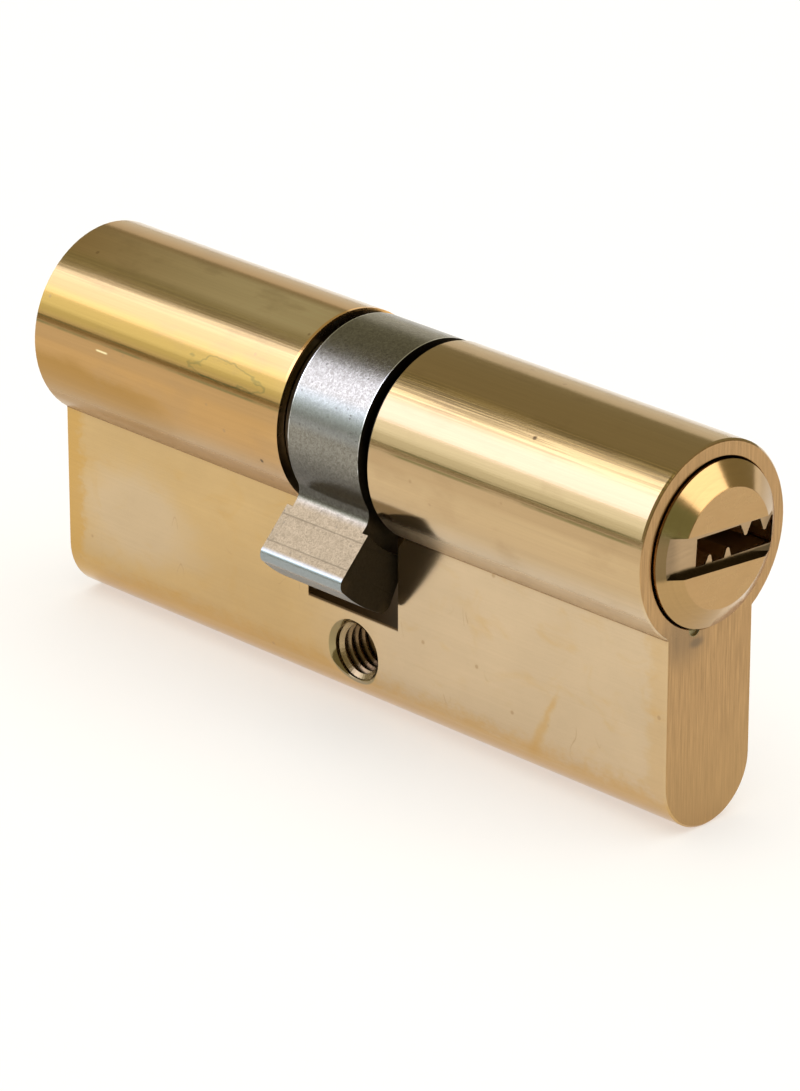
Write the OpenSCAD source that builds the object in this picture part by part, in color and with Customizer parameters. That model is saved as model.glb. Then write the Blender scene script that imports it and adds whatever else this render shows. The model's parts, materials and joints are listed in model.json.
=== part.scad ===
// Euro-profile double lock cylinder for a flat dimple key, with a sintered cam between its plugs.
// The origin is the centre of the fixing-screw hole. +X runs along the cylinder to the outer
// side, +Z points up through the plug axis, and all lengths are millimetres.
// The pins stand at the shear line, as they do with the right key in, so that the plugs can turn.

/* [Body] */
// Distance from the fixing screw to each end face
half_length = 35; // [34:0.5:45]
// Diameter of the round part that holds the plugs
round_d = 17; // [16.9:0.05:17.4]
// Thickness of the flat web below the round part
web_w = 10; // [9.8:0.1:10.4]
// Overall height from the top of the round part to the bottom of the web
body_h = 33; // [32.6:0.1:33.4]
// Height of the plug axis above the fixing screw
axis_z = 19; // [18.8:0.1:19.2]
// Chamfer on the outer edges of the end faces
edge_break = 0.2; // [0.1:0.05:0.3]
// Width along the cylinder of the gap that the cam turns in
gap_w = 10.5; // [10.3:0.1:10.8]
// Depth of the cam pocket below the plug axis
pocket_depth = 15.2; // [15.1:0.05:15.4]

/* [Fixing screw] */
// Diameter of the threaded hole across the web
screw_d = 5; // [4.5:0.1:5.2]
// Diameter of the hole's countersunk mouths
screw_mouth_d = 5.9; // [5.7:0.1:6.4]

/* [Plugs] */
// Diameter of the turning barrel
barrel_d = 12.9; // [12.7:0.05:13]
// Radial clearance of the barrels and of the plug tails in the cam
running_gap = 0.05; // [0.03:0.01:0.08]
// Diameter of the flanged head
head_d = 13.9; // [13.7:0.05:14]
// How far the head's rim stands out of the end face
rim_proud = 0.3; // [0.2:0.05:0.6]
// How far the flat front of the head stands out of the end face
head_proud = 1.5; // [1.2:0.05:1.8]
// Diameter of the flat front inside the head's cone
flat_d = 10; // [9:0.1:10.6]
// Turn of the outer plug about its axis, in degrees
outer_turn = -3.5; // [-5:0.5:5]

/* [Keyway] */
// Width of the key slot across the plug
keyway_w = 8.9; // [8.6:0.05:9]
// Height of the key slot
keyway_h = 2.35; // [2.25:0.05:2.5]
// Distance of the slot's far side from the plug axis
keyway_reach = 6.15; // [6.1:0.05:6.2]
// Depth of the shallow recess around the slot, below the flat front
recess_depth = 0.75; // [0.5:0.05:0.9]
// Height of the recess
recess_h = 3.4; // [3:0.05:3.6]
// Tilt of the recess against the slot, in degrees
recess_tilt = -1.7; // [-3:0.1:3]

/* [Cam] */
// Diameter of the cam's ring
ring_d = 16.8; // [16.4:0.1:16.9]
// Width of the ring along the cylinder
ring_w = 8.1; // [8:0.1:8.2]
// Width of the bit along the cylinder
bit_w = 9.4; // [9:0.1:9.6]
// Reach of the bit from the plug axis
bit_reach = 14.95; // [14.6:0.05:14.95]
// Turn of the bit away from straight down, in degrees
bit_turn = -36; // [-38:1:-28]

/* [Pins] */
// Distance between neighbouring pins
pin_pitch = 4.4; // [4.2:0.1:4.5]
// Distance of the innermost pin from the fixing screw
first_pin_x = 11.5; // [11:0.1:11.8]
// Diameter of the key pins and driver pins
pin_d = 2.7; // [2.5:0.05:2.8]
// Length of a driver pin
driver_l = 5; // [4:0.5:6]

/* [Hidden] */
$fn = 96;
PIN_NUMBERS = [1, 2, 3, 4, 5];
SIDES = ["outer", "inner"];
PIN_PARTS = ["key_pin", "driver_pin", "pin_spring", "chamber_cap"];

BRASS = "#c9a258";
PALE_BRASS = "#b8a068";
STEEL = "#8d8f93";
DARK_STEEL = "#66686c";
over = 1;                                  // how far a cut runs past the face it opens
wall_gap = 0.1;                            // side clearance of the circlips

// Body
round_r = round_d / 2;
foot_r = web_w / 2;
bottom_z = axis_z + round_r - body_h;
gap_x = gap_w / 2;
mouth_break = 0.06;
nick_r = 0.6;
nick_depth = 0.25;
nick_pos = [-1.9, -6.75];                  // small nick in the rim of the outer counterbore

// Plugs, in a frame whose X axis is the plug axis
barrel_r = barrel_d / 2;
bore_r = barrel_r + running_gap;
head_r = head_d / 2;
counterbore_r = head_r + 0.15;
head_depth = 2;
shoulder_x = half_length - head_depth;
clip_t = 0.8;
clip_x = gap_x - wall_gap - clip_t;        // cam side of the circlip
groove_x = clip_x - running_gap;
groove_r = 5.6;
clip_outer_r = 7.6;
tail_r = 6;
tail_x = 1.6;                              // end of the plug's tail, inside the cam
tail_slot_w = 3.1;
tail_slot_depth = 2.1;
tail_bore_r = 2.4;                         // room for the clutch spring
tip_passage_w = 6;                         // narrow end of the keyway, for the key's tip
keyway_end_x = 9;
recess_shift = 0.05;

// Keyway wards: [base from, base to, tip, reach, +1 for the roof or -1 for the floor]
WARDS = [
    [2.35, 3.6, 3.0, 1.0, 1],
    [4.65, 5.95, 5.25, 1.05, 1],
    [-1.6, -0.8, -1.15, 0.7, -1],
    [0.6, 1.4, 0.98, 0.8, -1]
];
ward_tip_r = 0.2;

// Pins: how far each one's tip stands in the keyway when its low end is at the shear line
BITTING = [1.0, 0.6, 0.8, 0.4, 0.7];
full_rise = 1.6;                           // how far a tip stands in the keyway with no key
pin_r = pin_d / 2;
chamber_r = pin_r + 0.05;
tip_r = 0.9;
tip_hole_r = tip_r + 0.05;
tip_point_r = 0.45;
ledge_drop = 1.15;                         // depth of the chamber's ledge below the keyway floor
pin_chamfer = 0.3;
key_pin_low = -6.3;                        // low end of a key pin, just above the shear line
driver_top = -6.55;
cap_h = 1.6;
cap_seat_r = 1.6;
cap_gap = 0.01;
spring_wire_r = 0.16;
spring_coil_r = 1.05;
spring_turns = 7;

// Cam, with the bit pointing down
ring_r = ring_d / 2;
cam_bore_r = tail_r + running_gap;
bit_step_r = 10;                           // where the bit becomes wider than the ring
bit_waist = 2.8;                           // half thickness of the bit at bit_waist_r
bit_waist_r = 9.8;
bit_flare = 0.143;                         // growth of the half thickness per millimetre outwards
bit_root_r = 7.6;
bit_corner_r = 0.9;
bit_fillet_r = 1.5;
bite = 0.01;                               // how far the roundings cross the faces that they blend
notch_r = 7.15;
notch_w = 3.1;

// Clutch, engaged with the outer plug
dog_r = 7.1;
dog_w = 3;
dog_t = 1.6;
outer_dog_x = 1.7;
inner_dog_x = -1.5;
dog_stem_r = 1.2;
dog_stem_bore_r = 1.3;
dog_stem_end_x = -0.6;
clutch_wire_r = 0.2;
clutch_coil_r = 1.9;
clutch_turns = 2;

// ---- helpers ----

// Puts children on the plug axis
module on_axis() {
    translate([0, 0, axis_z]) children();
}

// Puts children on the plug axis, made for the outer side and turned about Z for the inner side
module on_side(side) {
    on_axis() rotate([0, 0, side == "outer" ? 0 : 180]) children();
}

// Turns children with the plug that holds them
module with_plug(side) {
    on_side(side) rotate([side == "outer" ? outer_turn : 0, 0, 0]) children();
}

// Round bar along X
module rod_x(r, from, to) {
    translate([from, 0, 0]) rotate([0, 90, 0]) cylinder(r = r, h = to - from);
}

// Extrudes a Y-Z outline along X
module prism_x(from, to) {
    translate([from, 0, 0]) rotate([90, 0, 90]) linear_extrude(to - from) children();
}

// Turns an outline of [radius, x] points about X
module turned_x(points) {
    rotate([0, 90, 0]) rotate_extrude() polygon(points);
}

// Round bar along the whole body, with its end edges broken
module broken_rod(r) {
    turned_x([
        [0, -half_length], [r - edge_break, -half_length], [r, -half_length + edge_break],
        [r, half_length - edge_break], [r - edge_break, half_length], [0, half_length]
    ]);
}

// Round-wire compression spring along Z, from height 0, as one closed tube
module coil_spring(coil_r, wire_r, length, turns, per_turn = 8, sides = 6) {
    rings = turns * per_turn;
    rise = (length - 2 * wire_r) / rings;
    points = [
        for (i = [0 : rings]) for (j = [0 : sides - 1])
            let (turn = 360 * i / per_turn, tilt = 360 * j / sides, r = coil_r + wire_r * cos(tilt))
            [r * cos(turn), r * sin(turn), wire_r + i * rise + wire_r * sin(tilt)]
    ];
    skin = [
        for (i = [0 : rings - 1]) for (j = [0 : sides - 1]) for (half = [0, 1])
            let (a = i * sides + j, b = i * sides + (j + 1) % sides)
            half == 0 ? [a, b, b + sides] : [a, b + sides, a + sides]
    ];
    start_cap = [[for (j = [sides - 1 : -1 : 0]) j]];
    end_cap = [[for (j = [0 : sides - 1]) rings * sides + j]];
    polyhedron(points, concat(skin, start_cap, end_cap), convexity = 8);
}

function pin_x(i) = first_pin_x + (i - 1) * pin_pitch;
function along(q, u, r) = -q * u + sqrt(pow(q * u, 2) - q * q + r * r);

// ---- body ----

module body_blank() {
    on_axis() broken_rod(round_r);
    translate([0, 0, bottom_z + foot_r]) {
        broken_rod(foot_r);
        linear_extrude(axis_z - bottom_z - foot_r) web_outline();
    }
}

// Web seen from above, with its four upright edges broken
module web_outline() {
    polygon([
        for (p = [[1, 1], [-1, 1], [-1, -1], [1, -1]]) for (first = [p[0] * p[1] > 0, p[0] * p[1] < 0])
            [
                p[0] * (half_length - (first ? 0 : edge_break)),
                p[1] * (foot_r - (first ? edge_break : 0))
            ]
    ]);
}

// Everything that one side's plug and pins take out of the body
module side_cuts() {
    rod_x(bore_r, 0, half_length);
    rod_x(counterbore_r, shoulder_x - running_gap, half_length + over);
    turned_x([
        [0, half_length - mouth_break], [counterbore_r, half_length - mouth_break],
        [counterbore_r + mouth_break + over, half_length + over], [0, half_length + over]
    ]);
    for (i = PIN_NUMBERS) translate([pin_x(i), 0, bottom_z - axis_z]) {
        translate([0, 0, -over]) cylinder(r = chamber_r, h = axis_z - bottom_z);
        translate([0, 0, -over]) cylinder(r = cap_seat_r, h = cap_h + over);
    }
}

module screw_hole() {
    mouth_r = screw_mouth_d / 2;
    sink = mouth_r - screw_d / 2;
    rotate([90, 0, 0]) cylinder(r = screw_d / 2, h = web_w + 2 * over, center = true);
    for (end = [0, 180]) rotate([90, 0, end]) rotate_extrude() polygon([
        [0, foot_r - sink], [screw_d / 2, foot_r - sink], [mouth_r + over, foot_r + over], [0, foot_r + over]
    ]);
}

module cylinder_body() {
    color(BRASS) difference() {
        body_blank();
        translate([-gap_x, -round_r - over, axis_z - pocket_depth])
            cube([gap_w, round_d + 2 * over, pocket_depth + round_r + over]);
        for (side = SIDES) on_side(side) side_cuts();
        screw_hole();
        on_axis() translate([half_length - nick_depth, nick_pos[0], nick_pos[1]])
            rotate([0, 90, 0]) cylinder(r = nick_r, h = over);
    }
}

// ---- plugs ----

module plug_blank() {
    turned_x([
        [0, tail_x], [tail_r, tail_x], [tail_r, groove_x], [groove_r, groove_x],
        [groove_r, gap_x - wall_gap + running_gap], [barrel_r, gap_x - wall_gap + running_gap],
        [barrel_r, shoulder_x], [head_r, shoulder_x], [head_r, half_length + rim_proud],
        [flat_d / 2, half_length + head_proud], [0, half_length + head_proud]
    ]);
}

// One ward, from the roof or the floor of the slot
module ward(w) {
    root_z = w[4] * (keyway_h / 2 + over);
    edge_z = w[4] * keyway_h / 2;
    tip_z = w[4] * (keyway_h / 2 - w[3] + ward_tip_r);
    polygon([
        [w[0], root_z], [w[0], edge_z], [w[2] - ward_tip_r, tip_z],
        [w[2] + ward_tip_r, tip_z], [w[1], edge_z], [w[1], root_z]
    ]);
    translate([w[2], tip_z]) circle(r = ward_tip_r, $fn = 24);
}

module keyway_outline() {
    difference() {
        translate([keyway_reach - keyway_w, -keyway_h / 2]) square([keyway_w, keyway_h]);
        for (w = WARDS) ward(w);
    }
}

// Stepped hole for one key pin, from the keyway down through the barrel
module key_pin_hole() {
    ledge_z = -keyway_h / 2 - ledge_drop;
    translate([0, 0, -barrel_r - over]) cylinder(r = chamber_r, h = barrel_r + over + ledge_z);
    translate([0, 0, ledge_z - over]) cylinder(r = tip_hole_r, h = over + ledge_drop + full_rise + 0.15);
}

// A plug whose tail slot lies slot_turn degrees about its axis
module plug(slot_turn) {
    front_x = half_length + head_proud;
    color(BRASS) difference() {
        plug_blank();
        prism_x(keyway_end_x, front_x + over) keyway_outline();
        prism_x(0, keyway_end_x + over)
            translate([-tip_passage_w / 2, -keyway_h / 2]) square([tip_passage_w, keyway_h]);
        rod_x(tail_bore_r, 0, tail_x + tail_slot_depth);
        prism_x(front_x - recess_depth, front_x + over) rotate(recess_tilt)
            translate([-head_d, recess_shift - recess_h / 2]) square([2 * head_d, recess_h]);
        for (i = PIN_NUMBERS) translate([pin_x(i), 0, 0]) key_pin_hole();
        rotate([slot_turn, 0, 0]) translate([tail_x - over, -head_d, -tail_slot_w / 2])
            cube([over + tail_slot_depth, 2 * head_d, tail_slot_w]);
    }
}

module outer_plug() {
    with_plug("outer") plug(bit_turn - outer_turn);
}

module inner_plug() {
    with_plug("inner") plug(-bit_turn);
}

// Snap ring behind the body's inner wall, open over a 60 degree arc
module circlip(side) {
    color(DARK_STEEL) with_plug(side) prism_x(clip_x, clip_x + clip_t) difference() {
        circle(r = clip_outer_r);
        circle(r = groove_r + running_gap);
        polygon([[0, 0], [clip_outer_r, 2 * clip_outer_r], [-clip_outer_r, 2 * clip_outer_r]]);
    }
}

// ---- cam ----

side_u = [bit_flare, -1] / norm([bit_flare, -1]);     // outwards along the bit's +Y face
side_n = [1, bit_flare] / norm([1, bit_flare]);       // out of that face
side_p = [bit_waist, -bit_waist_r];                   // a point on it

// Mirrors an outline left to right when s is -1
module mirrored(s) {
    mirror([s < 0 ? 1 : 0, 0]) children();
}

// Bit with straight flared faces, a tip on an arc and two rounded corners
module bit_outline() {
    q = side_p - bit_corner_r * side_n;
    centre = q + along(q, side_u, bit_reach - bit_corner_r) * side_u;
    on_tip = centre * bit_reach / norm(centre);
    root = side_p - (bit_waist_r - bit_root_r) * side_u;
    end = side_p + bit_reach * side_u;
    difference() {
        intersection() {
            polygon([root, end, [-end[0], end[1]], [-root[0], root[1]]]);
            circle(r = bit_reach);
        }
        for (s = [1, -1]) mirrored(s) difference() {
            polygon([centre, centre + bit_waist * side_n, end + bit_waist * side_n, on_tip * 1.2]);
            translate(centre) circle(r = bit_corner_r + bite);
        }
    }
}

// Concave fillets between the ring and the faces of the bit
module bit_fillets() {
    q = side_p + (bit_fillet_r - bite) * side_n;
    centre = q + along(q, side_u, ring_r + bit_fillet_r - bite) * side_u;
    in_bit = centre - (bit_fillet_r + 1) * side_n;
    in_ring = centre * (ring_r - 1) / norm(centre);
    for (s = [1, -1]) mirrored(s) difference() {
        polygon([in_bit, centre, in_ring]);
        translate(centre) circle(r = bit_fillet_r);
    }
}

// Ring with a bit that is wider than the ring beyond bit_step_r
module cam() {
    half_w = ring_w / 2;
    color(STEEL) on_axis() rotate([bit_turn, 0, 0]) difference() {
        union() {
            rod_x(ring_r, -half_w, half_w);
            prism_x(-bit_w / 2, bit_w / 2) bit_outline();
            prism_x(-half_w, half_w) bit_fillets();
        }
        rod_x(bit_step_r, half_w, bit_w);
        rod_x(bit_step_r, -bit_w, -half_w);
        rod_x(cam_bore_r, -bit_w, bit_w);
        intersection() {
            rod_x(notch_r, -bit_w, bit_w);
            cube([2 * bit_w, 2 * ring_r, notch_w], center = true);
        }
    }
}

// ---- clutch ----

// Bar with round ends that lies across the cam's two notches
module dog_bar(x) {
    intersection() {
        rod_x(dog_r, x, x + dog_t);
        translate([x - over, -dog_r, -dog_w / 2]) cube([dog_t + 2 * over, 2 * dog_r, dog_w]);
    }
}

module outer_dog() {
    color(DARK_STEEL) on_axis() rotate([bit_turn, 0, 0]) {
        dog_bar(outer_dog_x);
        rod_x(dog_stem_r, dog_stem_end_x, outer_dog_x + dog_t / 2);
    }
}

module inner_dog() {
    color(DARK_STEEL) on_axis() rotate([bit_turn, 0, 0]) difference() {
        dog_bar(inner_dog_x);
        rod_x(dog_stem_bore_r, inner_dog_x - over, inner_dog_x + dog_t + over);
    }
}

module clutch_spring() {
    from = inner_dog_x + dog_t;
    color(STEEL) on_axis() translate([from + wall_gap / 2, 0, 0]) rotate([0, 90, 0])
        coil_spring(clutch_coil_r, clutch_wire_r, outer_dog_x - from - wall_gap, clutch_turns, 16, 8);
}

// ---- pins ----

// Key pin: a plain body, a shoulder and a tapered tip that stands in the keyway
module key_pin(side, i) {
    tip_z = -keyway_h / 2 + BITTING[i - 1];
    shoulder_z = tip_z - ledge_drop - full_rise;
    color(BRASS) with_plug(side) translate([pin_x(i), 0, 0]) rotate_extrude($fn = 48) polygon([
        [0, key_pin_low], [pin_r - pin_chamfer, key_pin_low], [pin_r, key_pin_low + pin_chamfer],
        [pin_r, shoulder_z], [tip_r, shoulder_z], [tip_r, tip_z - 0.6], [tip_point_r, tip_z], [0, tip_z]
    ]);
}

// Driver pin: chamfered at both ends
module driver_pin(side, i) {
    low = driver_top - driver_l;
    color(STEEL) on_side(side) translate([pin_x(i), 0, 0]) rotate_extrude($fn = 48) polygon([
        [0, low], [pin_r - pin_chamfer, low], [pin_r, low + pin_chamfer],
        [pin_r, driver_top - pin_chamfer], [pin_r - pin_chamfer, driver_top], [0, driver_top]
    ]);
}

module pin_spring(side, i) {
    low = bottom_z - axis_z + cap_h;
    color(DARK_STEEL) on_side(side) translate([pin_x(i), 0, low])
        coil_spring(spring_coil_r, spring_wire_r, driver_top - driver_l - low, spring_turns);
}

// Cap that closes a chamber, flush with the rounded foot of the web
module chamber_cap(side, i) {
    color(PALE_BRASS) intersection() {
        on_side(side) translate([pin_x(i), 0, bottom_z - axis_z - over])
            cylinder(r = cap_seat_r - cap_gap, h = cap_h + over);
        translate([0, 0, bottom_z + foot_r]) rod_x(foot_r, -half_length, half_length);
    }
}

cylinder_body();
outer_plug();
inner_plug();
circlip("outer");  // outer_circlip
circlip("inner");  // inner_circlip
cam();
outer_dog();
inner_dog();
clutch_spring();
for (side = SIDES) for (i = PIN_NUMBERS) {
    key_pin(side, i);
    driver_pin(side, i);
    pin_spring(side, i);
    chamber_cap(side, i);
}
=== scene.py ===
import json
import math

import bmesh
import bpy
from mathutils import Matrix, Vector


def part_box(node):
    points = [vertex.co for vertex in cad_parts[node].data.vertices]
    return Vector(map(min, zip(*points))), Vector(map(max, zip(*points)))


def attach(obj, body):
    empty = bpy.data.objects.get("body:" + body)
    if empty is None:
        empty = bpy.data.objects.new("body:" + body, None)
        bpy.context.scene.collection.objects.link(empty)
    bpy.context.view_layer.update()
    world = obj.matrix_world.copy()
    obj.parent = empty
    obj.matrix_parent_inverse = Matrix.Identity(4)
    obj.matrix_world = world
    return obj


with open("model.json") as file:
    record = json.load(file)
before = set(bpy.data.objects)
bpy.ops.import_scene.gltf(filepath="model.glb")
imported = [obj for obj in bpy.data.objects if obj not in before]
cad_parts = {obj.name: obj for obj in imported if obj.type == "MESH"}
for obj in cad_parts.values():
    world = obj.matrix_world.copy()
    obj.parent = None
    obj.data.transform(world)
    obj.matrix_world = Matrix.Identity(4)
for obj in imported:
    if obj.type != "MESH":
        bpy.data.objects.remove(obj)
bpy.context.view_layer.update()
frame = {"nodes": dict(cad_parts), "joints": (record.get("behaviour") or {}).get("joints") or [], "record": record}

MM = 0.001
NODES = frame["nodes"]

# ---- places, from the frame ----

BODY_LOW, BODY_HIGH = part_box("cylinder_body")
MOUNTS = {m["name"]: m for m in frame["record"]["mounts"]}
JOINTS = {j["name"]: j for j in frame["joints"]}
SLOTS = {s["node"]: s["material_slot"] for s in frame["record"]["subparts"]}
FLOOR_Z = BODY_LOW.z
AXIS_Z = JOINTS["outer_plug_turn"]["pos_m"][2]

# The rest are millimetres, measured from the middle of the plug axis
ROUND_R = BODY_HIGH.y / MM
END_X = BODY_HIGH.x / MM
WEB_Y = MOUNTS["web_side_back"]["pos_m"][1] / MM
WEB_TOP = -math.sqrt(ROUND_R ** 2 - WEB_Y ** 2)
WEB_FOOT = (FLOOR_Z - AXIS_Z) / MM
HOLE_Z = -AXIS_Z / MM
HOLE_R = MOUNTS["fixing_screw"]["dims"]["r_mm"]
HOLE_LENGTH = MOUNTS["fixing_screw"]["dims"]["length_mm"]
CIRCLIP_CLEARANCE = 0.1
GAP_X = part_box("outer_circlip")[1].x / MM + CIRCLIP_CLEARANCE
PLUG_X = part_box("outer_plug")[1].x / MM
BIT_AXIS = MOUNTS["cam_bit"]["axis"]

# Sizes of the CAD source that the frame doesn't state
COUNTERBORE_R = 7.1
POCKET_FLOOR_Z = -15.2
NICK_Y = -1.9
NICK_Z = -6.75
NICK_R = 0.6
CAM_R = 8.4
CAM_HALF_W = 4.05
BIT_REACH = 14.95
FLAT_R = 5.0
KEYWAY_REACH = 6.15
RECESS_DEPTH = 0.75
RECESS_HALF_H = 1.7
RECESS_SHIFT = 0.05
OUTER_LEAN = math.tan(math.radians(5.2))
INNER_LEAN = -math.tan(math.radians(1.7))
KEYWAY_HALF_H = 1.175

# ---- camera ----

CAM_AZIMUTH = 44.87
CAM_ELEVATION = 23.31
CAM_DISTANCE = 0.4614
CAM_AIM = Vector((14.97, -14.53, 17.13)) * MM
CAM_LENS = 193.0
CAM_NEAR = 0.01
CAM_FAR = 50
SENSOR = 36.0


def direction(azimuth, elevation):
    """Unit vector from the object towards a viewer at that azimuth and elevation, in degrees."""
    a, e = math.radians(azimuth), math.radians(elevation)
    return Vector((math.sin(a) * math.cos(e), -math.cos(a) * math.cos(e), math.sin(e)))


def add_camera():
    """Camera at the place that was fitted to the photo."""
    data = bpy.data.cameras.new("camera")
    data.sensor_width = SENSOR
    data.lens = CAM_LENS
    data.clip_start = CAM_NEAR
    data.clip_end = CAM_FAR
    camera = bpy.data.objects.new("camera", data)
    back = direction(CAM_AZIMUTH, CAM_ELEVATION)
    camera.location = CAM_AIM + back * CAM_DISTANCE
    camera.rotation_mode = "QUATERNION"
    camera.rotation_quaternion = (-back).to_track_quat("-Z", "Y")
    bpy.context.scene.collection.objects.link(camera)
    bpy.context.scene.camera = camera


# ---- light ----

SKY_BLUE = (0.60, 0.56, 1.0)
PALE_BLUE = (0.72, 0.84, 1.0)
CAM_BLUE = (0.84, 0.88, 1.0)
DAYLIGHT = (0.86, 0.98, 1.0)
WARM = (1.0, 0.95, 0.88)
COOL_WHITE = (0.96, 0.96, 1.0)
ROOM = (0.31, 0.28, 0.17)
KEY_AZIMUTH = -44.6
KEY_TOP = 62
KEY_DISTANCE = 6.0
KEY_WIDTH = 3.6

# Layers of the key light: name, bottom elevation in degrees, radiance, colour
KEY_LAYERS = (
    ("key_skirt", 4, 0.75, DAYLIGHT),
    ("key_middle", 12.5, 0.6, PALE_BLUE),
    ("key_softbox", 22.5, 1.75, SKY_BLUE),
)
CAM_LAYER = ("cam_softbox", 16, 2.1, CAM_BLUE)

# Other boxes: name, azimuth, elevation, distance, width and height in metres, radiance, colour
SIDE_BOXES = (
    ("right_softbox", 116, 25, 1.2, 0.85, 0.3, 2.3, WARM),
    ("back_card", -139, 11, 1.2, 1.0, 0.46, 0.5, WARM),
)
FLOOR_FILL = ("floor_fill", 0, 90, 1.5, 3.0, 3.0, 1.71, COOL_WHITE)


def add_softbox(name, azimuth, elevation, distance, width, height, radiance, color):
    """Rectangular light, facing the object; width is level, and radiance is its brightness."""
    data = bpy.data.lights.new(name, "AREA")
    data.shape = "RECTANGLE"
    data.size = width
    data.size_y = height
    data.energy = radiance * math.pi * width * height
    data.color = color
    light = bpy.data.objects.new(name, data)
    back = direction(azimuth, elevation)
    light.location = Vector((0, 0, AXIS_Z)) + back * distance
    light.rotation_mode = "QUATERNION"
    light.rotation_quaternion = (-back).to_track_quat("-Z", "Y")
    light.visible_camera = False
    bpy.context.scene.collection.objects.link(light)
    return light


def add_key(name, bottom, radiance, color, receivers):
    """One layer of the key light, from its own bottom elevation up to the shared top one."""
    half = math.radians(KEY_TOP - bottom) / 2
    height = 2 * KEY_DISTANCE * math.tan(half)
    middle = (KEY_TOP + bottom) / 2
    light = add_softbox(name, KEY_AZIMUTH, middle, KEY_DISTANCE, KEY_WIDTH, height, radiance, color)
    light.light_linking.receiver_collection = receivers


def add_lights(floor):
    """Layered key on the left, a brighter one for the cam, side boxes, and an even fill."""
    not_floor = bpy.data.collections.new("all_but_floor")
    not_floor.objects.link(floor)
    not_floor.collection_objects[0].light_linking.link_state = "EXCLUDE"
    cam_only = bpy.data.collections.new("cam_only")
    cam_only.objects.link(NODES["cam"])
    for layer in KEY_LAYERS:
        add_key(*layer, not_floor)
    add_key(*CAM_LAYER, cam_only)
    for box in SIDE_BOXES:
        add_softbox(*box).light_linking.receiver_collection = not_floor
    fill = add_softbox(*FLOOR_FILL)
    fill.visible_glossy = False
    fill.data.use_shadow = False


def add_room():
    """Dim warm surroundings, and colours shown as they are."""
    world = bpy.data.worlds.new("room")
    bpy.context.scene.world = world
    world.use_nodes = True
    background = world.node_tree.nodes["Background"]
    background.inputs["Color"].default_value = (*ROOM, 1)
    background.inputs["Strength"].default_value = 1
    bpy.context.scene.view_settings.view_transform = "Standard"


# ---- floor and backdrop ----

STAGE_R = 3.0
STAGE_SIDES = 96
STAGE_GREY = (0.9, 0.9, 0.9)


def stage_piece(name, bm, emission):
    """Matt pale piece of the stage, at floor height; emission is how much it glows."""
    mesh = bpy.data.meshes.new(name)
    bm.to_mesh(mesh)
    bm.free()
    piece = bpy.data.objects.new(name, mesh)
    piece.location.z = FLOOR_Z
    bpy.context.scene.collection.objects.link(piece)
    material = bpy.data.materials.new(name)
    material.use_nodes = True
    shader = material.node_tree.nodes["Principled BSDF"]
    shader.inputs["Base Color"].default_value = (*STAGE_GREY, 1)
    shader.inputs["Roughness"].default_value = 0.9
    shader.inputs["Specular IOR Level"].default_value = 0
    shader.inputs["Emission Color"].default_value = (1, 1, 1, 1)
    shader.inputs["Emission Strength"].default_value = emission
    mesh.materials.append(material)
    return piece


def add_floor():
    """Round floor that the body's foot stands on."""
    bm = bmesh.new()
    bmesh.ops.create_circle(bm, cap_ends=True, radius=STAGE_R, segments=STAGE_SIDES)
    return stage_piece("floor", bm, 0)


def add_backdrop():
    """Pale wall round the stage, for low views; only the camera sees it."""
    bm = bmesh.new()
    bmesh.ops.create_cone(
        bm, segments=STAGE_SIDES, radius1=STAGE_R, radius2=STAGE_R, depth=2 * STAGE_R
    )
    wall = stage_piece("backdrop", bm, 1)
    wall.visible_diffuse = False
    wall.visible_glossy = False
    wall.visible_shadow = False


# ---- node materials ----

class Value:
    """A number made by a node. Arithmetic on it adds Math nodes."""

    def __init__(self, graph, socket):
        self.graph = graph
        self.socket = socket

    def __add__(self, other):
        return self.graph.math("ADD", self, other)

    def __sub__(self, other):
        return self.graph.math("SUBTRACT", self, other)

    def __rsub__(self, other):
        return self.graph.math("SUBTRACT", other, self)

    def __mul__(self, other):
        return self.graph.math("MULTIPLY", self, other)

    def __abs__(self):
        return self.graph.math("ABSOLUTE", self)

    __radd__ = __add__
    __rmul__ = __mul__


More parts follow.
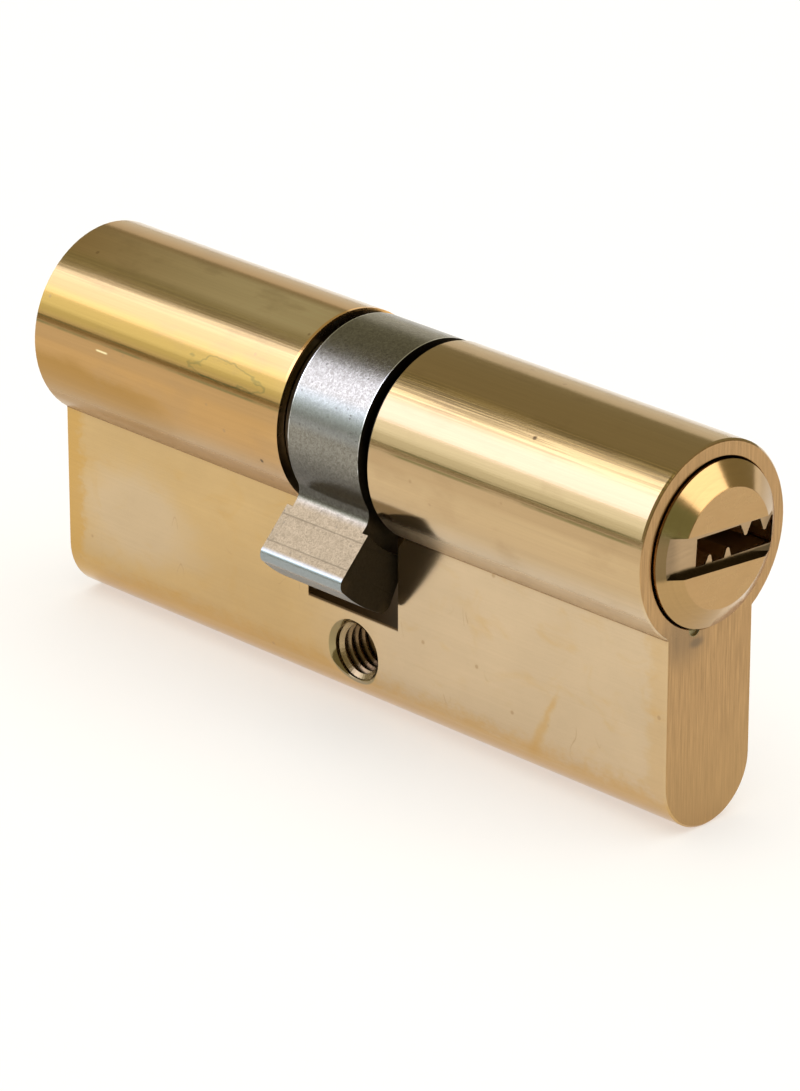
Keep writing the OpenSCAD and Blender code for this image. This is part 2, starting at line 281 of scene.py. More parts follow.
class Graph:
    """One procedural metal. Its numbers are Values, and its colours are sockets or (r, g, b)."""

    def __init__(self, name):
        self.material = bpy.data.materials.new(name)
        self.material.use_nodes = True
        self.tree = self.material.node_tree
        self.shader = self.tree.nodes["Principled BSDF"]
        self.shader.inputs["Metallic"].default_value = 1
        self.coords = self.tree.nodes.new("ShaderNodeTexCoord")

    def feed(self, socket, value):
        """Links a Value or a socket to an input, or sets the input to a number or a colour."""
        if isinstance(value, Value):
            value = value.socket
        if isinstance(value, bpy.types.NodeSocket):
            self.tree.links.new(value, socket)
        elif isinstance(value, tuple):
            socket.default_value = (*value, 1) if len(socket.default_value) == 4 else value
        else:
            socket.default_value = value

    def math(self, operation, *values):
        """Result of a Math node."""
        node = self.tree.nodes.new("ShaderNodeMath")
        node.operation = operation
        for socket, value in zip(node.inputs, values):
            self.feed(socket, value)
        return Value(self, node.outputs[0])

    def split(self, socket):
        """The three numbers of a vector or colour."""
        node = self.tree.nodes.new("ShaderNodeSeparateXYZ")
        self.tree.links.new(socket, node.inputs[0])
        return [Value(self, out) for out in node.outputs]

    def place(self):
        """Place on the object at rest, in millimetres from the middle of the plug axis."""
        x, y, z = self.split(self.coords.outputs["Object"])
        return x * (1 / MM), y * (1 / MM), z * (1 / MM) - AXIS_Z / MM

    def facing_x(self):
        """1 where the surface faces along X, and 0 where it lies along X."""
        return abs(self.split(self.coords.outputs["Normal"])[0])

    def radius(self, a, b):
        """Length of the sides a and b taken together."""
        return self.math("SQRT", a * a + b * b)

    def step(self, value, low, high):
        """Smooth rise from 0 at low to 1 at high; low may be the larger."""
        node = self.tree.nodes.new("ShaderNodeMapRange")
        node.interpolation_type = "SMOOTHSTEP"
        self.feed(node.inputs["Value"], value)
        self.feed(node.inputs["From Min"], low)
        self.feed(node.inputs["From Max"], high)
        return Value(self, node.outputs[0])

    def band(self, value, middle, half, soft):
        """1 within half of middle, and 0 beyond half + soft."""
        return self.step(abs(value - middle), half + soft, half)

    def vector(self, x, y, z):
        """Vector socket of three numbers."""
        node = self.tree.nodes.new("ShaderNodeCombineXYZ")
        for socket, value in zip(node.inputs, (x, y, z)):
            self.feed(socket, value)
        return node.outputs[0]

    def noise(self, x, y, z, detail=2.0, roughness=0.5, distortion=0.0):
        """Cloudy noise about 0.5; its features are about one unit of x, y and z apart."""
        node = self.tree.nodes.new("ShaderNodeTexNoise")
        node.inputs["Scale"].default_value = 1
        node.inputs["Detail"].default_value = detail
        node.inputs["Roughness"].default_value = roughness
        node.inputs["Distortion"].default_value = distortion
        self.tree.links.new(self.vector(x, y, z), node.inputs["Vector"])
        return Value(self, node.outputs["Fac"])

    def specks(self, x, y, z, share, size):
        """Sparse round specks: share of the cells hold one, and size is its reach in cells."""
        node = self.tree.nodes.new("ShaderNodeTexVoronoi")
        node.inputs["Scale"].default_value = 1
        self.tree.links.new(self.vector(x, y, z), node.inputs["Vector"])
        near = self.step(Value(self, node.outputs["Distance"]), size, size * 0.5)
        pick = self.split(node.outputs["Color"])[0]
        return near * self.step(pick, share, share * 0.9)

    def mix(self, share, a, b):
        """Colour a at share 0, b at share 1, and between them in between."""
        node = self.tree.nodes.new("ShaderNodeMix")
        node.data_type = "RGBA"
        self.feed(node.inputs[0], share)
        self.feed(node.inputs[6], a)
        self.feed(node.inputs[7], b)
        return node.outputs[2]

    def scaled(self, color, factor):
        """The colour, times a number."""
        node = self.tree.nodes.new("ShaderNodeVectorMath")
        node.operation = "SCALE"
        self.feed(node.inputs[0], color)
        self.feed(node.inputs["Scale"], factor)
        return node.outputs[0]

    def finish(self, color, roughness, height, depth):
        """Feeds the shader; height is 0 to 1, and depth is what 1 stands for, in metres."""
        self.feed(self.shader.inputs["Base Color"], color)
        self.feed(self.shader.inputs["Roughness"], roughness)
        bump = self.tree.nodes.new("ShaderNodeBump")
        bump.inputs["Strength"].default_value = 1
        bump.inputs["Distance"].default_value = depth
        self.feed(bump.inputs["Height"], height)
        self.tree.links.new(bump.outputs["Normal"], self.shader.inputs["Normal"])
        return self.material


# ---- brass ----

PALE_ROUND = (0.555, 0.395, 0.215)
GOLD_ROUND = (0.53, 0.315, 0.12)
# PALE_UNDER and GOLD_UNDER, LIFTED_TOP, GREEN_GOLD, EDGE_PALE and EDGE_GOLD are painted reflection tones of the
# round part
PALE_UNDER = (0.66, 0.52, 0.34)
GOLD_UNDER = (0.50, 0.335, 0.17)
LIFTED_TOP = (1.0, 0.82, 0.56)
OCHRE_UNDER = (0.39, 0.215, 0.05)
GREEN_GOLD = (0.53, 0.345, 0.085)
EDGE_PALE = (0.53, 0.375, 0.14)
EDGE_GOLD = (0.55, 0.41, 0.18)
PALE_FLANK = (0.59, 0.45, 0.285)
GOLD_FLANK = (0.56, 0.385, 0.18)
GOLD_STAIN = (0.57, 0.335, 0.085)
# Brown for real stains, specks and scratches, and also for painted shade and a painted dark reflection band
BROWN_STAIN_AND_SHADE = (0.40, 0.26, 0.13)
# Painted shade in the crease where the round part meets the flanks
CREASE_SHADE_BROWN = (0.27, 0.16, 0.075)
# Olive for the tide mark's stain and for a painted dark reflection line
OLIVE_STAIN_AND_DARK_REFLECTION = (0.22, 0.19, 0.075)
END_TAN = (0.415, 0.252, 0.112)
END_GOLD = (0.46, 0.29, 0.12)
SHADED_BROWN = (0.085, 0.05, 0.02)
SMOKY_BROWN = (0.22, 0.15, 0.085)
# Painted glint on the rim of the ring gap
RIM_GLINT_ORANGE = (0.95, 0.55, 0.2)
HOLE_OLIVE = (0.33, 0.26, 0.13)
NICK_OLIVE = (0.36, 0.31, 0.17)
GLINT_YELLOW = (0.98, 0.86, 0.5)

# Marks on the round part, by x and by the way round its skin, upwards from the front
# The double dark line is a painted reflection, and the glint a painted highlight
DARK_REFLECTION_AROUND = 2.0
SECOND_DARK_REFLECTION_AROUND = 2.55
TIDE_X = -12
TIDE_AROUND = 3.4
PITS = ((21.0, 7.3), (-7.7, -3.3))
GLINT_X = -26.5
GLINT_AROUND = 1.35

# Marks on the front flank, by x and z, and on the ends, by y and z
RUN_X = 21.5
RUN_Z = -18.7
PALE_PATCH_X = -27
PALE_PATCH_Z = -14.5
SMOKY_RING_Y = -3.2
SMOKY_RING_Z = -6.8
SMOKY_NICK_Y = -1.6
SMOKY_NICK_Z = -8.0

BODY_BUMP = 2.6e-6


def drawn_zone(g, around):
    """Where the drawn lines are coarse: the band at the upper edge of the highlight."""
    return g.step(around, 5.7, 7.1) * g.step(around, 9.4, 8.2)


def round_zones(g, x, around, left, cloud, drawn):
    """Broad colours of the round part: pale or gold skin, paler underneath, with ochre at the left; the paler
    underside, a lighter top band and a green-gold band on the left, and a less blue band along the highlight's
    upper edge are painted reflections.
    """
    tone = g.mix(left, PALE_ROUND, GOLD_ROUND)
    under = g.step(around + cloud * 1.2, -1.2, -4.4)
    # Paler underneath: a painted reflection of a brighter floor
    tone = g.mix(under, tone, g.mix(left, PALE_UNDER, GOLD_UNDER))
    lifted = g.step(around, 7.6, 8.4) * g.step(around, 13.4, 12.2) * left * g.step(x, -46, -10)
    # A lighter band at the top on the left: a painted reflection
    tone = g.mix(lifted, tone, LIFTED_TOP)
    # A green-gold band low in the highlight on the left: painted reflection colour
    tone = g.mix(g.band(around, 4.0, 0.7, 0.9) * left * 0.6, tone, GREEN_GOLD)
    # A less blue tone along the highlight's upper edge: painted reflection colour
    tone = g.mix(drawn * 0.8, tone, g.mix(left, EDGE_PALE, EDGE_GOLD))
    ochre = g.step(x + cloud * 10, -8, -20) * g.band(around + cloud * 2, -2.4, 2.0, 1.4)
    return g.mix(ochre * 0.8, tone, OCHRE_UNDER)


def round_marks(g, x, around, tone):
    """The round part's tide mark, a double dark line that is a painted reflection, pits and one glint, over its
    tone.
    """
    ragged = g.noise(x * 0.5, around * 0.8, 2, 2, 0.5) * 1.6
    wave = g.radius((x - TIDE_X) * 0.24, around - TIDE_AROUND) + ragged
    tide = g.band(wave, 1.75, 0.02, 0.09)
    # The double dark line below is a painted reflection of the horizon, broken up along x by this noise
    worn = g.step(g.noise(x * 0.12, 3, 0, 3), 0.35, 0.55)
    dark_reflection = g.band(around, DARK_REFLECTION_AROUND, 0.04, 0.13)
    dark_reflection = dark_reflection + g.band(around, SECOND_DARK_REFLECTION_AROUND, 0.01, 0.09) * 0.8
    tone = g.mix(tide * 0.45 + dark_reflection * worn * 0.75, tone, OLIVE_STAIN_AND_DARK_REFLECTION)
    for pit_x, pit_around in PITS:
        pit = g.step(g.radius(x - pit_x, around - pit_around), 0.26, 0.10)
        tone = g.mix(pit * 0.85, tone, SHADED_BROWN)
    glint = g.band(x, GLINT_X, 0.5, 0.3) * g.band(around, GLINT_AROUND, 0.05, 0.06)
    return g.mix(glint * 0.9, tone, GLINT_YELLOW)


def round_tone(g, x, y, z, around, left, drawn):
    """Colour of the polished round part, and the clouds of its tarnish, with a painted dark reflection band and
    painted shade near the junction.
    """
    cloud = g.noise(x * 0.16, y * 0.3, z * 0.3, 4, 0.6)
    tone = round_zones(g, x, around, left, cloud, drawn)
    # A dark band a little above the front, a painted reflection of the horizon, and painted shade low down near
    # the junction with the flanks
    dark_reflection_and_shade = g.band(around, 1.5, 0.45, 0.75) + g.step(around, -6.0, -7.7) * 0.6
    tone = g.mix(dark_reflection_and_shade * 0.36, tone, BROWN_STAIN_AND_SHADE)
    tone = g.mix(g.step(cloud, 0.52, 0.7) * 0.25, tone, BROWN_STAIN_AND_SHADE)
    return round_marks(g, x, around, tone), cloud


def flank_tone(g, x, y, z, left):
    """Colour of a satin flank: a pale patch, golden stains and one slanting run, scratches."""
    patch = g.noise(x * 0.1, z * 0.14, y, 5, 0.6)
    from_pale = g.radius((x - PALE_PATCH_X) * 0.11, (z - PALE_PATCH_Z) * 0.2)
    pale = g.step(from_pale + patch * 1.6, 2.0, 1.2)
    tone = g.mix(left * (1 - pale * 0.8), PALE_FLANK, GOLD_FLANK)
    tone = g.scaled(tone, patch * 0.3 + 0.86)
    ragged = g.noise(x * 0.5, z * 0.6, y, 5, 0.65) * 3.4
    ragged = ragged + g.noise(x * 1.7, z * 2.4, y, 4, 0.7) * 1.8 - 0.9
    foot = g.step(z - WEB_FOOT, 3.4 + ragged, 1.0 + ragged)
    leftward = g.step(x, END_X - 20, 20 - END_X)
    corner = g.step(END_X - abs(x), 1.0 + ragged, ragged - 0.4) * (leftward * 0.6 + 0.4)
    stain = g.math("MAXIMUM", foot * 0.85, corner * 0.9)
    tone = g.mix(stain * 0.75, tone, GOLD_STAIN)
    wave = g.noise(x * 0.24 + 3, z * 0.3, y, 3, 0.6, 0.8)
    tone = g.mix(g.step(wave, 0.52, 0.80) * 0.3, tone, GOLD_STAIN)
    slant = abs(x - RUN_X - (z - RUN_Z) * 0.46 + patch * 3 - 1.5) + ragged * 0.22 - 0.37
    run = g.step(slant, 0.8 - (z - RUN_Z) * 0.14, 0.05)
    run = run * g.band(z, RUN_Z, 2.2, 2.0) * g.step(y, 0, -1)
    tone = g.mix(run * 0.5, tone, GOLD_STAIN)
    scratch = g.band(g.noise(x * 0.33, z * 0.12, 5 + y, 1, 0.5, 0.5), 0.5, 0.001, 0.004)
    scratch = scratch * g.step(g.noise(x * 0.3, z * 0.3, 9 + y, 2), 0.60, 0.66)
    # Darker just below the junction with the round part: painted shade under its overhang
    junction = g.step(z, WEB_TOP - 0.5, WEB_TOP)
    return g.mix(scratch * 0.45 + junction * 0.22, tone, BROWN_STAIN_AND_SHADE)


def end_tone(g, x, y, z):
    """Colour of the ends, with a smoky patch on the ring and one under the nick, and their brushing."""
    brushed = g.noise(y * 5.5, z * 0.22, x, 4, 0.65)
    tone = g.scaled(END_TAN, brushed * 1.1 + 0.5)
    tone = g.mix(g.step(z, WEB_TOP - 4, WEB_FOOT) * 0.5, tone, END_GOLD)
    smoky = g.step(g.radius(y - SMOKY_RING_Y, z - SMOKY_RING_Z), 4.0, 0.8)
    from_nick = g.radius((y - SMOKY_NICK_Y) * 0.55, z - SMOKY_NICK_Z)
    smoky = smoky + g.step(from_nick + brushed * 0.3, 0.8, 0.3)
    return g.mix(smoky * 0.6, tone, SMOKY_BROWN), brushed


def nick_mask(g, x, y, z):
    """The nick under each plug; the inner side is the outer one turned round."""
    outward = g.step(x, -1, 1) * 2 - 1
    nick = g.step(g.radius(y * outward - NICK_Y, z - NICK_Z), NICK_R + 0.08, NICK_R + 0.03)
    return nick * g.step(abs(x), END_X - 0.4, END_X - 0.3)


def dark_mask(g, x, z, r):
    """The walls of the ring gap and of the bit's pocket, and the inside of the bores."""
    at_gap = g.step(abs(x), GAP_X + 0.03, GAP_X - 0.03)
    in_gap = at_gap * g.step(r, ROUND_R - 0.02, ROUND_R - 0.08)
    pocket = at_gap * g.step(z, POCKET_FLOOR_Z - 0.3, POCKET_FLOOR_Z - 0.1)
    bore = g.step(r, COUNTERBORE_R + 0.2, COUNTERBORE_R + 0.1)
    bore = bore * g.step(abs(x), END_X - 0.02, END_X - 0.07)
    return g.math("MAXIMUM", g.math("MAXIMUM", in_gap, pocket), bore)


def body_brass():
    """Drawn brass bar: polished round part, satin flanks, brushed ends, dark gap and hole."""
    g = Graph("body_brass")
    x, y, z = g.place()
    r = g.radius(y, z)
    around = g.math("ARCTAN2", z, y * -1) * ROUND_R
    left = g.step(x + 4 * g.noise(x * 0.2, y * 0.2, z * 0.2), 8, -6)
    left = left * (g.step(y, 3, -2) * 0.7 + 0.3)
    below = g.step(z, WEB_TOP + 0.06, WEB_TOP)
    end = g.step(abs(x), END_X - 0.1, END_X - 0.03)
    drawn = drawn_zone(g, around)

    # Round part, flanks and the painted shade in the crease between them
    fine = g.noise(x * 0.05, around * 6.5, 0, 4, 0.65)
    broad = g.noise(x * 0.035, around * 1.1, 5, 2, 0.5)
    top, cloud = round_tone(g, x, y, z, around, left, drawn)
    streak = g.step(g.noise(x * 0.05, around * 4.2, 8, 3, 0.65), 0.40, 0.60) - 0.5
    streak = streak * drawn * (0.5 - left * 0.3)
    top = g.scaled(top, fine * 0.2 + broad * 0.12 + 0.84 + streak)
    level = g.noise(x * 0.04, z * 5.5, y, 3, 0.6)
    flank = g.scaled(flank_tone(g, x, y, z, left), level * 0.12 + 0.94)
    tone = g.mix(below, top, flank)
    # A thin dark line along that crease: painted shade
    crease_shade = g.band(z, WEB_TOP + 0.02, 0.05, 0.07) * g.step(abs(x), GAP_X, GAP_X + 0.1)
    tone = g.mix(crease_shade * 0.8, tone, CREASE_SHADE_BROWN)
    specks = g.specks(x * 0.5, y * 0.5, z * 0.5, 0.22, 0.12)
    tone = g.mix(specks * 0.6, tone, BROWN_STAIN_AND_SHADE)

    # Ends, gap, pocket, bores and hole
    ends, brushed = end_tone(g, x, y, z)
    tone = g.mix(end, tone, ends)
    nick = nick_mask(g, x, y, z)
    dark = dark_mask(g, x, z, r)
    tone = g.mix(dark, tone, SHADED_BROWN)
    tone = g.mix(nick, tone, NICK_OLIVE)
    # A bright orange line on the round part's rim beside the left side of the ring gap: a painted glint
    rim_glint = g.band(x, -GAP_X - 0.1, 0.16, 0.04) * g.band(r, ROUND_R, 0.2, 0.05)
    tone = g.mix(rim_glint * g.step(around, 4.2, 6.0) * 0.9, tone, RIM_GLINT_ORANGE)
    hole = g.step(g.radius(x, z - HOLE_Z), HOLE_R + 0.46, HOLE_R + 0.38)
    hole = hole * g.step(abs(y), WEB_Y - 0.01, WEB_Y - 0.05)
    # The hole darkens further in: painted shade
    deep_shade = g.step(abs(y), WEB_Y - 0.3, WEB_Y - 1.5)
    tone = g.mix(hole, tone, g.mix(deep_shade, HOLE_OLIVE, SHADED_BROWN))

    # Bump and roughness
    on_round = (1 - below) * (1 - end)
    drawn = drawn * on_round
    coarse = g.noise(x * 0.03, around * 3.8, 8, 3, 0.65)
    lines = fine * (1.5 - left * 0.9) + coarse * drawn * (5 - left * 3)
    lines = g.split(g.mix(below, lines.socket, (level * 0.9).socket))[0]
    lines = lines * (1 - end) + end * brushed * 2.4
    root = g.step(around, -4.0, -5.4) * on_round
    rough = 0.10 + cloud * 0.05 + below * 0.03 + end * 0.14 + dark * 0.3
    rough = rough + root * 0.22 + nick * 0.4 + drawn * (0.08 - left * 0.06)
    return g.finish(tone, rough, lines, BODY_BUMP)


PLUG_TAN = (0.47, 0.283, 0.12)
PLUG_GOLD = (0.53, 0.34, 0.155)
CONE_PALE = (0.50, 0.345, 0.17)
# CONE_BROWN, CONE_OLIVE and CONE_DUSK are painted reflections on the cone
CONE_BROWN = (0.38, 0.24, 0.10)
CONE_OLIVE = (0.36, 0.36, 0.16)
CONE_DUSK = (0.17, 0.115, 0.05)
RECESS_TAN = (0.44, 0.30, 0.165)
# Painted shade on the recess's wall and floor below the keyway
RECESS_SHADE_BLACK = (0.075, 0.05, 0.02)
# Paler brass for the keyway's walls, to lighten its inside: painted light
SLOT_LIT_GOLD = (0.80, 0.55, 0.30)
PLUG_BUMP = 1.8e-6

# Sectors of the cone where its reflections are painted, by their middle and half width in degrees, upwards from
# the front
OLIVE_SECTOR = (36, 12)
DUSK_SECTOR = (11, 14)
LOW_SECTOR = (-45, 34)
BACK_SECTOR = (152, 10)


def cone_tone(g, y, z, cone, cloud, tone):
    """The cone's painted reflections over the tone: brown low and at the back, with an olive and a dusky sector.
    """
    angle = g.math("ARCTAN2", z, y * -1) * (180 / math.pi)
    tone = g.mix(cone * 0.5, tone, CONE_PALE)
    low = g.band(angle, *LOW_SECTOR, 14) + g.band(angle, *BACK_SECTOR, 8)
    tone = g.mix(cone * low * 0.85, tone, CONE_BROWN)
    olive = g.band(angle + cloud * 8, *OLIVE_SECTOR, 7)
    tone = g.mix(cone * olive * 0.6, tone, CONE_OLIVE)
    dusk = g.band(angle + cloud * 8, *DUSK_SECTOR, 5)
    return g.mix(cone * dusk * 0.9, tone, CONE_DUSK)


def recess_tone(g, x, y, z, r, satin, cloud, tone):
    """The recess over the tone, with painted shade below the keyway and the keyway painted lighter, and the
    keyway's mask.
    """
    lean = g.step(x, -1, 1) * (OUTER_LEAN - INNER_LEAN) + INNER_LEAN
    level = z + y * lean
    in_reach = g.step(r, KEYWAY_REACH + 0.1, KEYWAY_REACH + 0.05)
    in_recess = g.step(abs(level - RECESS_SHIFT), RECESS_HALF_H + 0.04, RECESS_HALF_H) * in_reach
    floor = g.band(abs(x), PLUG_X - RECESS_DEPTH, 0.04, 0.04) * in_recess
    shade = satin * 0.3 + 0.78 - g.step(abs(y), 4.4, 5.8) * 0.3
    tone = g.mix(floor, tone, g.scaled(RECESS_TAN, shade))
    # Painted shade on the recess's wall and floor below the keyway
    recess_shade = g.step(level + cloud * 0.5, 0.45 - KEYWAY_HALF_H, 0.15 - KEYWAY_HALF_H)
    wall = g.band(abs(x), PLUG_X - RECESS_DEPTH / 2, RECESS_DEPTH / 2 - 0.04, 0.03) * in_recess
    recess_shade = recess_shade * g.math("MAXIMUM", floor, wall)
    tone = g.mix(recess_shade * 0.94, tone, g.scaled(RECESS_SHADE_BLACK, cloud + 0.5))
    # The keyway's walls are painted paler, as painted light inside it
    slot = g.step(abs(x), PLUG_X - RECESS_DEPTH - 0.05, PLUG_X - RECESS_DEPTH - 0.2)
    slot = slot * in_reach * g.step(abs(level), KEYWAY_HALF_H + 0.4, KEYWAY_HALF_H + 0.3)
    return g.mix(slot, tone, SLOT_LIT_GOLD), slot


def plug_brass():
    """Turned brass: rings and painted reflections on the cone, a satin flat, a recess with painted shade, and a
    keyway painted lighter.
    """
    g = Graph("plug_brass")
    x, y, z = g.place()
    r = g.radius(y, z)
    flat = g.step(abs(x), PLUG_X - 0.06, PLUG_X - 0.02)
    cone = g.step(r, FLAT_R + 0.02, FLAT_R + 0.1) * g.step(abs(x), END_X + 0.2, END_X + 0.3)
    rings = g.noise(r * 6, x * 4, 0, 3, 0.6)
    satin = g.noise(y * 0.5, z * 4, x, 4, 0.6)
    cloud = g.noise(x * 0.3, y * 0.35, z * 0.35, 4, 0.6)
    tone = cone_tone(g, y, z, cone, cloud, g.mix(cloud, PLUG_TAN, PLUG_GOLD))
    tone = g.scaled(tone, rings * cone * 0.2 + satin * 0.16 + 0.86)
    tone = g.mix(g.specks(x, y, z, 0.2, 0.16) * 0.6, tone, BROWN_STAIN_AND_SHADE)
    tone, slot = recess_tone(g, x, y, z, r, satin, cloud, tone)
    rough = 0.17 + cloud * 0.06 + flat * 0.07 - cone * 0.06 + slot * 0.1
    return g.finish(tone, rough, rings * cone + satin, PLUG_BUMP)


TURNED_BUMP = 3e-6


def turned_brass(name, tone_a, tone_b):
    """Turned brass pin or cap: level rings and soft clouds."""
    g = Graph(name)
    x, y, z = g.place()
    rings = g.noise(0, 0, z * 9, 3, 0.6)
    cloud = g.noise(x * 0.6, y * 0.6, z * 0.6, 4, 0.6)
    tone = g.scaled(g.mix(cloud, tone_a, tone_b), rings * 0.3 + 0.82)
    return g.finish(tone, 0.24 + cloud * 0.14, rings, TURNED_BUMP)


# ---- steel ----

SKIN_DARK = (0.18, 0.165, 0.135)
SKIN_PALE = (0.285, 0.27, 0.23)
LIT_GREY = (0.30, 0.315, 0.315)
BIT_TAN = (0.295, 0.222, 0.122)
WORN_GREY = (0.30, 0.33, 0.335)
TIP_GREY = (0.27, 0.28, 0.28)
# Painted highlight along the cam ring's rim
EDGE_HIGHLIGHT = (0.85, 0.84, 0.80)
PIT_BLACK = (0.07, 0.06, 0.05)
# Painted shade on the cam's sides
SIDE_SHADE_BLACK = (0.05, 0.04, 0.025)
LIT_AT = 20
PARTING_LINES = (10.4, 12.9)
SINTER_BUMP = 7e-6
STEEL_BUMP = 4e-6


def bit_tone(g, reach, across, bit, grain, mottle, tone):
    """The bit over the tone: a dark root, which is painted shade and a painted dark reflection, parting lines, a
    bright worn tip; and two of its masks.
    """
    # Darker round the bit's root: painted shade and a painted dark reflection of the bit in the ring
    root = g.step(reach, 4.6, 7.2) * g.step(reach, 8.9, 8.2)
    tone = g.scaled(tone, 1 - root * 0.62)
    tone = g.mix(bit * 0.8, tone, g.scaled(BIT_TAN, grain * 1.2 + 0.4))
    low, high = PARTING_LINES
    parting = g.band(reach, low, 0.015, 0.09) + g.band(reach, high, 0.015, 0.09)
    tone = g.scaled(tone, 1.1 - mottle * 0.2 - parting * bit * grain * 0.5)
    worn = g.step(reach, BIT_REACH - 1.45, BIT_REACH - 0.95) * g.step(abs(across), 2.1, 2.6)
    tone = g.mix(worn, tone, g.scaled(WORN_GREY, grain * 0.4 + 0.8))
    under = g.step(reach, BIT_REACH - 0.65, BIT_REACH - 0.25) * g.step(abs(across), 2.9, 2.5)
    return g.mix(under, tone, g.scaled(TIP_GREY, grain * 0.5 + 0.75)), parting, worn


def sintered_steel():
    """Sintered and tumbled steel: mottled grey skin, sides painted dark as shade, a bright worn tip."""
    g = Graph("sintered_steel")
    x, y, z = g.place()
    reach = y * BIT_AXIS[1] + z * BIT_AXIS[2]
    across = z * BIT_AXIS[1] - y * BIT_AXIS[2]
    grain = g.noise(x * 4.5, y * 4.5, z * 4.5, 3, 0.6, 1.2)
    mottle = g.noise(x * 0.9, y * 0.9, z * 0.9, 4, 0.6)
    pits = g.specks(x * 1.7, y * 1.7, z * 1.7, 0.35, 0.24)
    shaded_side = g.step(g.facing_x(), 0.6, 0.9)
    bit = g.step(reach, CAM_R, CAM_R + 1.2)
    tone = g.mix(g.step(grain, 0.36, 0.64), SKIN_DARK, SKIN_PALE)
    angle = g.math("ARCTAN2", z, y * -1) * (180 / math.pi)
    lit = g.band(angle, LIT_AT, 6, 8) * (1 - bit)
    tone = g.mix(lit * 0.7, tone, g.scaled(LIT_GREY, grain * 0.5 + 0.75))
    tone, parting, worn = bit_tone(g, reach, across, bit, grain, mottle, tone)
    # A bright line along the rim of the cam ring: a painted highlight
    edge_highlight = g.band(abs(x), CAM_HALF_W, 0.06, 0.04)
    edge_highlight = edge_highlight * g.step(g.radius(y, z), CAM_R - 0.15, CAM_R - 0.08)
    edge_highlight = edge_highlight * (1 - g.step(reach, 5.5, 6.5)) * g.step(mottle + angle * 0.004, 0.42, 0.66)
    tone = g.mix(edge_highlight * 0.9, tone, EDGE_HIGHLIGHT)
    tone = g.mix(pits * (0.35 - worn * 0.3), tone, PIT_BLACK)
    # The faces along X are painted near black: painted shade
    tone = g.mix(shaded_side, tone, g.scaled(SIDE_SHADE_BLACK, grain + 0.5))
    rough = 0.2 + mottle * 0.08 + shaded_side * 0.15 + bit * (1 - worn) * 0.22
    height = grain * 0.6 - pits * 0.6 + mottle * 0.3 - parting * bit
    return g.finish(tone, rough, height, SINTER_BUMP)


def worked_steel(name, tone_a, tone_b, roughness, grain_size):
    """Plain steel with a fine grain, darker clouds and an uneven gloss."""
    g = Graph(name)
    x, y, z = g.place()
    f = 1 / grain_size
    grain = g.noise(x * f, y * f, z * f, 3, 0.6)
    cloud = g.noise(x * 0.7, y * 0.7, z * 0.7, 4, 0.6)
    tone = g.scaled(g.mix(cloud, tone_a, tone_b), grain * 0.4 + 0.8)
    return g.finish(tone, roughness + cloud * 0.16, grain, STEEL_BUMP)


# ---- pieces ----

THREAD_PITCH = 0.8
THREAD_MINOR_R = 2.12
THREAD_ROOT_R = HOLE_R + 0.05
THREAD_ROOT_HALF = 0.37
THREAD_CREST_HALF = 0.08
THREAD_END_GAP = 0.15
THREAD_FADE_TURNS = 0.4
THREAD_TURN_SIDES = 48
THREAD_MOUTH = (0.42, 0.31, 0.17)
# Painted shade deep in the hole
THREAD_SHADE = (0.22, 0.14, 0.07)


def thread_rings(bm):
    """Cross-sections of the thread's ridge, from mouth to mouth; its crest fades out at both ends."""
    half_length = HOLE_LENGTH / 2 - THREAD_END_GAP
    count = round(2 * half_length / THREAD_PITCH * THREAD_TURN_SIDES)
    rings = []
    for i in range(count + 1):
        turn = 2 * math.pi * i / THREAD_TURN_SIDES
        fade = min(i, count - i) / (THREAD_FADE_TURNS * THREAD_TURN_SIDES)
        crest = HOLE_R - (HOLE_R - THREAD_MINOR_R) * min(1, fade)
        middle = -half_length + THREAD_PITCH * i / THREAD_TURN_SIDES
        profile = (
            (THREAD_ROOT_R, -THREAD_ROOT_HALF),
            (crest, -THREAD_CREST_HALF),
            (crest, THREAD_CREST_HALF),
            (THREAD_ROOT_R, THREAD_ROOT_HALF),
        )
        ring = []
        for radius, along in profile:
            place = (radius * math.sin(turn), middle + along, radius * math.cos(turn))
            ring.append(bm.verts.new(Vector(place) * MM))
        rings.append(ring)
    return rings


def screw_thread():
    """Helical ridge of the M5 thread inside the fixing-screw hole, right-handed about +Y."""
    bm = bmesh.new()
    rings = thread_rings(bm)
    for low, high in zip(rings, rings[1:]):
        for j in range(4):
            k = (j + 1) % 4
            bm.faces.new((low[j], high[j], high[k], low[k]))
    bm.faces.new(rings[0])
    bm.faces.new(rings[-1][::-1])
    bmesh.ops.recalc_face_normals(bm, faces=bm.faces)
    mesh = bpy.data.meshes.new("fixing_screw_thread")
    bm.to_mesh(mesh)
    bm.free()
    piece = bpy.data.objects.new("fixing_screw_thread", mesh)
    bpy.context.scene.collection.objects.link(piece)
    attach(piece, "housing")
    return piece


def thread_brass():
    """Cut thread: olive and dark down the hole, the dark being painted shade, and bright at its mouths."""
    g = Graph("thread_brass")
    x, y, z = g.place()
    lines = g.noise(x, y * 9, z, 3, 0.6)
    deep_shade = g.step(abs(y), WEB_Y - 0.8, WEB_Y - 2.4)
    tone = g.scaled(g.mix(deep_shade, THREAD_MOUTH, THREAD_SHADE), lines * 0.5 + 0.7)
    return g.finish(tone, 0.22 + lines * 0.1, lines, TURNED_BUMP)


# ---- finishing the CAD nodes ----

BODY_EDGE = 0.06 * MM
CAM_EDGE = 0.11 * MM
WELD_REACH = 1e-7
FLAT_WITHIN = math.radians(0.5)
EDGE_ABOVE = math.radians(28)

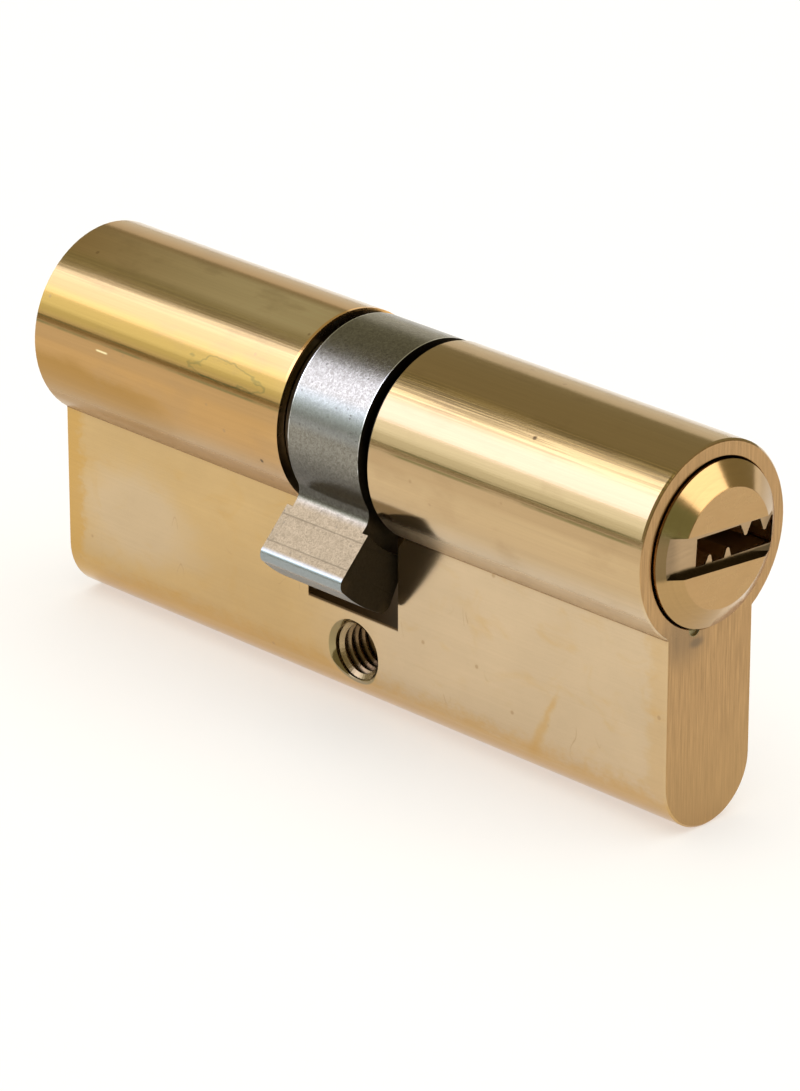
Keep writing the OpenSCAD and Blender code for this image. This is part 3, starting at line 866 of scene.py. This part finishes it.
# Plain finishes: name, two tones, and for steel its roughness and grain size
PIN_BRASS = ("pin_brass", (0.50, 0.34, 0.14), (0.62, 0.44, 0.21))
CAP_BRASS = ("cap_brass", (0.46, 0.32, 0.14), (0.56, 0.40, 0.19))
PIN_STEEL = ("pin_steel", (0.36, 0.36, 0.37), (0.52, 0.52, 0.53), 0.2, 0.3)
CLUTCH_STEEL = ("clutch_steel", (0.10, 0.11, 0.13), (0.22, 0.21, 0.20), 0.3, 0.25)
SPRING_STEEL = ("spring_steel", (0.13, 0.12, 0.11), (0.26, 0.25, 0.24), 0.28, 0.15)


def paint(piece, material):
    """Gives the piece this one material."""
    slots = piece.data.materials
    slots.clear()
    slots.append(material)


def round_edges(node, width):
    """Rounds the sharp edges of a CAD node with modifiers; its own mesh stays as packed."""
    piece = NODES[node]
    weld = piece.modifiers.new("weld", "WELD")
    weld.merge_threshold = WELD_REACH
    flat = piece.modifiers.new("flat", "DECIMATE")
    flat.decimate_type = "DISSOLVE"
    flat.angle_limit = FLAT_WITHIN
    bevel = piece.modifiers.new("bevel", "BEVEL")
    bevel.width = width
    bevel.segments = 2
    bevel.limit_method = "ANGLE"
    bevel.angle_limit = EDGE_ABOVE
    bevel.harden_normals = True
    normals = piece.modifiers.new("normals", "WEIGHTED_NORMAL")
    normals.keep_sharp = False
    normals.weight = 100


def paint_all():
    """Paints every CAD node by its material slot, and adds the thread."""
    materials = {
        "body_brass": body_brass(),
        "plug_brass": plug_brass(),
        "pin_brass": turned_brass(*PIN_BRASS),
        "sintered_steel": sintered_steel(),
        "pin_steel": worked_steel(*PIN_STEEL),
        "clutch_steel": worked_steel(*CLUTCH_STEEL),
        "spring_steel": worked_steel(*SPRING_STEEL),
    }
    cap = turned_brass(*CAP_BRASS)
    for name, piece in NODES.items():
        paint(piece, cap if "chamber_cap" in name else materials[SLOTS[name]])
    paint(screw_thread(), thread_brass())


add_camera()
add_lights(add_floor())
add_room()
add_backdrop()
paint_all()
round_edges("cylinder_body", BODY_EDGE)
round_edges("cam", CAM_EDGE)
